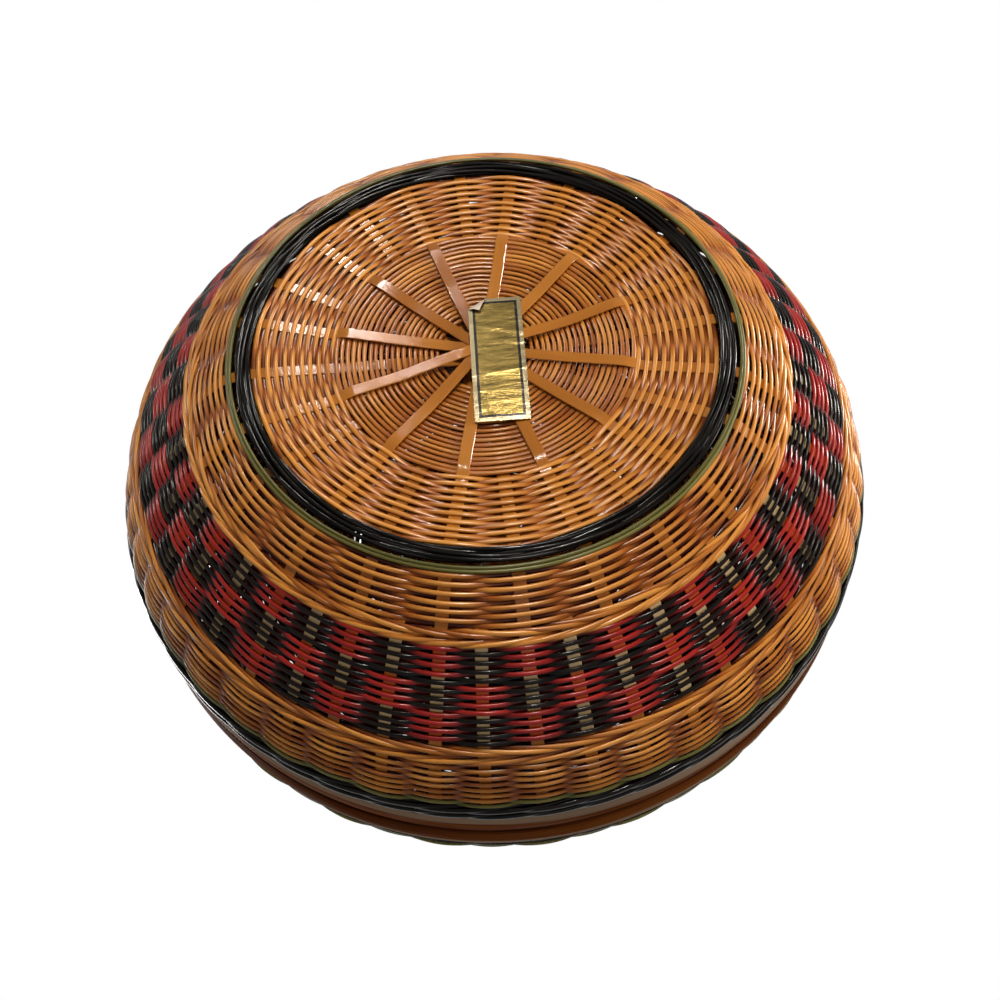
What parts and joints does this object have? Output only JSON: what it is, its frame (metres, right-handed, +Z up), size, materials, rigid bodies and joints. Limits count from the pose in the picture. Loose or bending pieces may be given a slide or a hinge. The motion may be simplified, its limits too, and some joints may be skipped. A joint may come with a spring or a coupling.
{
  "type": "lidded bamboo basket",
  "caption": "Round woven bamboo basket with a domed lift-off lid, a red and black check band, black twined edges and brown rim hoops.",
  "frame": {"origin": "on the surface the basket stands on, under the middle of the foot ring", "axes": "+Z up through the middle of the lid; the basket is round, so X and Y are any two square directions, with the label's long side along Y"},
  "size_m": [0.2216, 0.2216, 0.11],
  "materials": {
    "natural_weave": "varnished split bamboo weavers, honey brown",
    "bamboo_strip": "varnished flat bamboo strip",
    "red_bamboo": "crimson dyed bamboo weavers, glossy",
    "black_bamboo": "black dyed bamboo strands, glossy",
    "olive_bamboo": "olive green dyed bamboo strands",
    "brown_hoop": "brown lacquered bamboo hoop",
    "gold_label": "creased gold foil sticker, no print but a plain border"
  },
  "bodies": {
    "basket": {"base_fine_weave": "natural_weave", "base_outer_weave": "natural_weave", "base_strip_01": "bamboo_strip", "base_strip_02": "bamboo_strip", "base_strip_03": "bamboo_strip", "base_strip_04": "bamboo_strip", "base_strip_05": "bamboo_strip", "base_strip_06": "bamboo_strip", "base_strip_07": "bamboo_strip", "base_strip_08": "bamboo_strip", "base_strip_09": "bamboo_strip", "base_strip_10": "bamboo_strip", "base_strip_11": "bamboo_strip", "base_strip_12": "bamboo_strip", "check_band_tier_1": "red_bamboo", "check_band_tier_2": "black_bamboo", "check_band_tier_3": "red_bamboo", "foot_olive_strands": "olive_bamboo", "foot_ring_strand_1": "black_bamboo", "foot_ring_strand_2": "black_bamboo", "foot_ring_strand_3": "black_bamboo", "label": "gold_label", "rim_hoop_inner": "brown_hoop", "rim_hoop_outer": "brown_hoop", "twined_border_lower": "natural_weave", "twined_border_upper": "natural_weave", "wall_black_waling": "black_bamboo", "wall_olive_strands": "olive_bamboo", "wall_weave_lower": "natural_weave", "wall_weave_upper": "natural_weave"},
    "lid": {"crown_fine_weave": "natural_weave", "crown_outer_weave": "natural_weave", "crown_ring_strand_1": "black_bamboo", "crown_ring_strand_2": "black_bamboo", "lid_black_waling": "black_bamboo", "lid_border_inner": "natural_weave", "lid_border_outer": "natural_weave", "lid_check_tier_1": "red_bamboo", "lid_check_tier_2": "black_bamboo", "lid_hoop_inner": "brown_hoop", "lid_hoop_outer": "brown_hoop", "lid_olive_strands": "olive_bamboo", "lid_strip_01": "bamboo_strip", "lid_strip_02": "bamboo_strip", "lid_strip_03": "bamboo_strip", "lid_strip_04": "bamboo_strip", "lid_strip_05": "bamboo_strip", "lid_strip_06": "bamboo_strip", "lid_strip_07": "bamboo_strip", "lid_strip_08": "bamboo_strip", "lid_strip_09": "bamboo_strip", "lid_strip_10": "bamboo_strip", "lid_strip_11": "bamboo_strip", "lid_strip_12": "bamboo_strip", "lid_weave_inner": "natural_weave", "lid_weave_outer": "natural_weave"}
  },
  "joints": [
    {"name": "lid_lift", "type": "slide", "parent": "basket", "child": "lid", "axis": [0, 0, 1], "range_m": [0, 0.12]}
  ]
}
